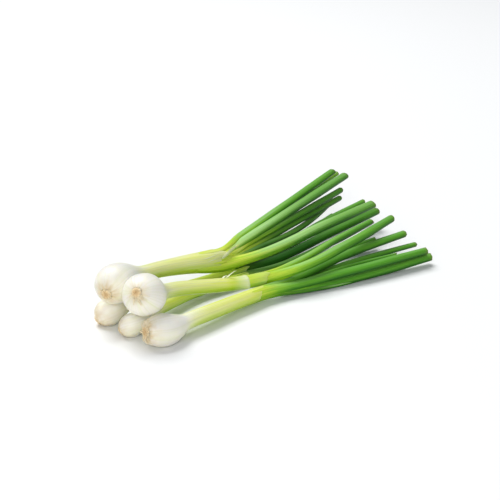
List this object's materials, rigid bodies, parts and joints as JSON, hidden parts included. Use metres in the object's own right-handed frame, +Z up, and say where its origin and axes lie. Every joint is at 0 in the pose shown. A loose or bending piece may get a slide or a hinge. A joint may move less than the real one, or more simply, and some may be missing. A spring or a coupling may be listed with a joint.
{
  "type": "spring onion bunch",
  "caption": "Bunch of spring onions lying on a surface, with round white bulbs, pale necks, trimmed root plates and tubular green leaves cut square.",
  "frame": {"origin": "centre of the bunch's box, on the surface that the bunch lies on", "axes": "+X along the bunch from the roots to the cut leaf tips, +Y to the side that lies behind in the picture, +Z up"},
  "size_m": [0.321, 0.1523, 0.049],
  "materials": {
    "bulb_skin": "satin",
    "leaf_green": "satin",
    "root_tan": "matte"
  },
  "bodies": {
    "root": {"back_top_bulb_and_neck": "bulb_skin", "back_top_leaves": "leaf_green", "back_top_root_plate": "root_tan", "front_top_bulb_and_neck": "bulb_skin", "front_top_leaves": "leaf_green", "front_top_root_plate": "root_tan", "back_low_bulb_and_neck": "bulb_skin", "back_low_leaves": "leaf_green", "back_low_root_plate": "root_tan", "middle_low_bulb_and_neck": "bulb_skin", "middle_low_leaves": "leaf_green", "middle_low_root_plate": "root_tan", "front_low_bulb_and_neck": "bulb_skin", "front_low_leaves": "leaf_green", "front_low_root_plate": "root_tan"}
  },
  "joints": []
}
